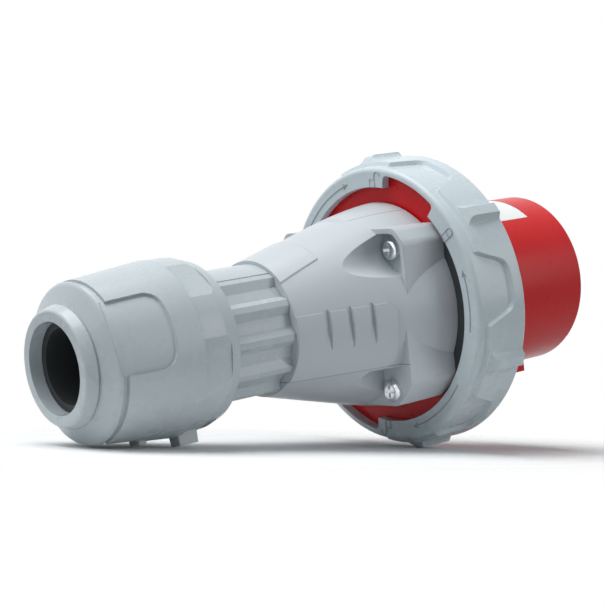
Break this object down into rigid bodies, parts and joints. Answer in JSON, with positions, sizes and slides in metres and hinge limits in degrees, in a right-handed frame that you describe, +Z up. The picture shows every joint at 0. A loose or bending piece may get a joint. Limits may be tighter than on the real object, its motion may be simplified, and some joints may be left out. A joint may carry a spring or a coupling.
{
  "type": "industrial power plug",
  "caption": "Round watertight industrial plug with a red contact shroud, bayonet locking ring, flared grey handle and a screwed cable gland.",
  "frame": {"origin": "bottom centre of the bounding box, on the table that the plug lies on", "axes": "+X to the nose, +Y to the far side, +Z up; the plug's own axis rises to the nose by 11.3 degrees, because it rests on the locking ring and the gland nut"},
  "size_m": [0.2448, 0.1184, 0.1224],
  "materials": {
    "red_plastic": "satin moulded nylon",
    "grey_plastic": "satin moulded nylon, light blue-grey",
    "black_plastic": "moulded contact carrier",
    "dark_plastic": "moulded nylon",
    "label_film": "blank adhesive film",
    "nickel_brass": "turned brass, nickel plated",
    "zinc_steel": "zinc plated",
    "grey_rubber": "moulded seal",
    "black_rubber": "moulded rubber"
  },
  "bodies": {
    "plug_body": {"front_shroud": "red_plastic", "rating_label": "label_film", "contact_block": "black_plastic", "pin_earth": "nickel_brass", "pin_l1": "nickel_brass", "pin_l2": "nickel_brass", "pin_l3": "nickel_brass", "pin_neutral": "nickel_brass", "pin_pilot": "nickel_brass", "terminal_screws": "zinc_steel", "face_seal": "grey_rubber", "body_gasket": "black_rubber", "handle": "grey_plastic", "housing_screws": "zinc_steel", "ribbed_neck": "grey_plastic", "clamp_basket": "dark_plastic", "gland_seal": "black_rubber"},
    "locking_ring": {"locking_ring": "grey_plastic"},
    "thrust_washer": {"thrust_washer": "dark_plastic"},
    "gland_nut": {"gland_nut": "grey_plastic"}
  },
  "joints": [
    {"name": "ring_turn", "type": "hinge", "parent": "plug_body", "child": "locking_ring", "pos_m": [0.04501, 0, 0.06033], "axis": [0.9805, 0, 0.1965], "range_deg": [-40, 40]},
    {"name": "gland_travel", "type": "slide", "parent": "plug_body", "child": "thrust_washer", "axis": [-0.9805, 0, -0.1965], "range_m": [0, 0.0061]},
    {"name": "gland_turn", "type": "hinge", "parent": "thrust_washer", "child": "gland_nut", "pos_m": [-0.08834, 0, 0.03361], "axis": [-0.9805, 0, -0.1965], "range_deg": [0, 720]}
  ],
  "couplings": [
    {"joint": "gland_travel", "follows": "gland_turn", "m_per_rad": 0.00047746}
  ]
}
